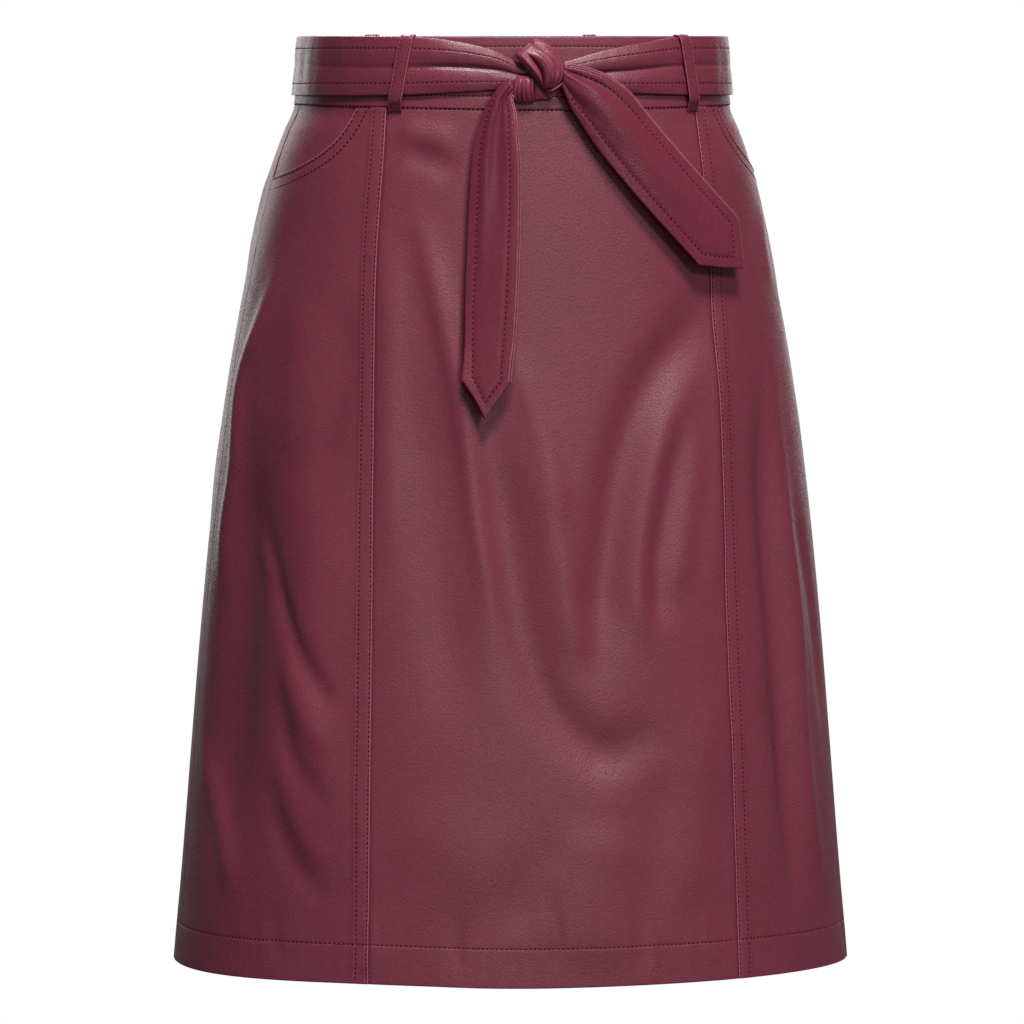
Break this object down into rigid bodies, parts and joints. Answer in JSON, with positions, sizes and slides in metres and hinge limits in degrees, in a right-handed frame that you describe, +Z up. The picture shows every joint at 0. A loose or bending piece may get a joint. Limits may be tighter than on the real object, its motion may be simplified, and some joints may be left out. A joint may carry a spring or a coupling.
{
  "type": "leather skirt",
  "caption": "Knee-length A-line leather skirt, filled out and open at waist and hem, with princess seams, curved hip pockets and a belt tied in a knot at the front.",
  "frame": {"origin": "the middle of the waist opening, level with the waistband's top edge", "axes": "+Z up, the front faces -Y, and the wearer's left is +X"},
  "size_m": [0.465, 0.3045, 0.6311],
  "materials": {
    "leather": "semi-gloss wine-red leather with a fine pebble grain",
    "thread": "wine-red topstitching thread, a little brighter than the leather",
    "zip_metal": "zip slider and tab lacquered to match the leather"
  },
  "bodies": {
    "skirt": {"front_panel": "leather", "side_front_right": "leather", "side_front_left": "leather", "pocket_facing_right": "leather", "pocket_facing_left": "leather", "back_right": "leather", "back_left": "leather", "waistband": "leather", "belt_band": "leather", "belt_loop_front_right": "leather", "belt_loop_front_left": "leather", "belt_loop_back_right": "leather", "belt_loop_back_left": "leather", "knot_over": "leather", "knot_under": "leather", "tail_right": "leather", "tail_left": "leather", "zip_slider": "zip_metal"},
    "zip_tab": {"zip_tab": "zip_metal"}
  },
  "joints": [
    {"name": "zip_tab_swing", "type": "hinge", "parent": "skirt", "child": "zip_tab", "pos_m": [0, 0.11783, -0.05387], "axis": [1, 0, 0], "range_deg": [0, 150]}
  ]
}
